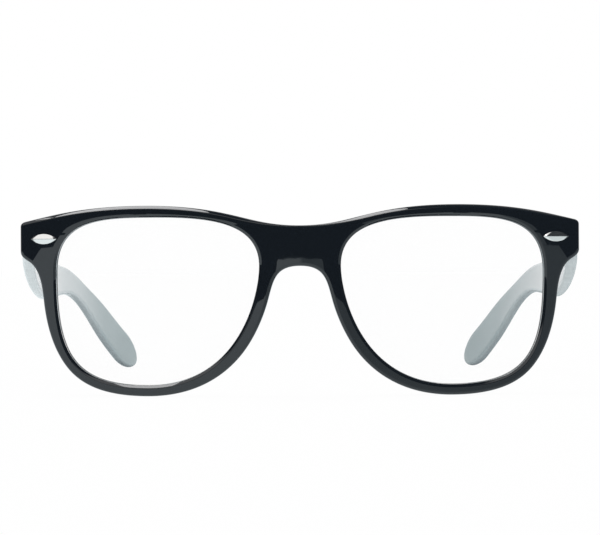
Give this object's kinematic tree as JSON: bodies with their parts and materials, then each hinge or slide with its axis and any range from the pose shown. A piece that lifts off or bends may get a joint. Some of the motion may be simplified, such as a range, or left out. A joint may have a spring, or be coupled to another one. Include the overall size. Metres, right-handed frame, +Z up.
{
  "type": "eyeglass frame",
  "caption": "Moulded plastic eyeglass frame with saddle bridge, clear lenses, end-piece inlays and barrel-hinged folding temples.",
  "frame": {"origin": "middle of the bounding box's bottom face, on the table that the rims and the temple tips stand on", "axes": "+X across the front towards the wearer's left, +Y back from the front along the temples, +Z up"},
  "size_m": [0.1564, 0.1484, 0.0487],
  "materials": {
    "front_plastic": "polished glossy black",
    "temple_plastic": "polished milky grey-white",
    "lens": "clear polished",
    "hinge_metal": "satin nickel",
    "inlay_metal": "polished silver"
  },
  "bodies": {
    "frame": {"front": "front_plastic", "lens_left": "lens", "lens_right": "lens", "inlay_left": "inlay_metal", "inlay_right": "inlay_metal", "front_leaf_left": "hinge_metal", "front_leaf_right": "hinge_metal", "hinge_screw_left": "hinge_metal", "hinge_screw_right": "hinge_metal"},
    "left_temple": {"temple_left": "temple_plastic", "temple_leaf_left": "hinge_metal"},
    "right_temple": {"temple_right": "temple_plastic", "temple_leaf_right": "hinge_metal"}
  },
  "joints": [
    {"name": "left_fold", "type": "hinge", "parent": "frame", "child": "left_temple", "pos_m": [0.06674, -0.05659, 0.0404], "axis": [0, 0, 1], "range_deg": [0, 87]},
    {"name": "right_fold", "type": "hinge", "parent": "frame", "child": "right_temple", "pos_m": [-0.06674, -0.05659, 0.0404], "axis": [0, 0, -1], "range_deg": [0, 78]}
  ]
}
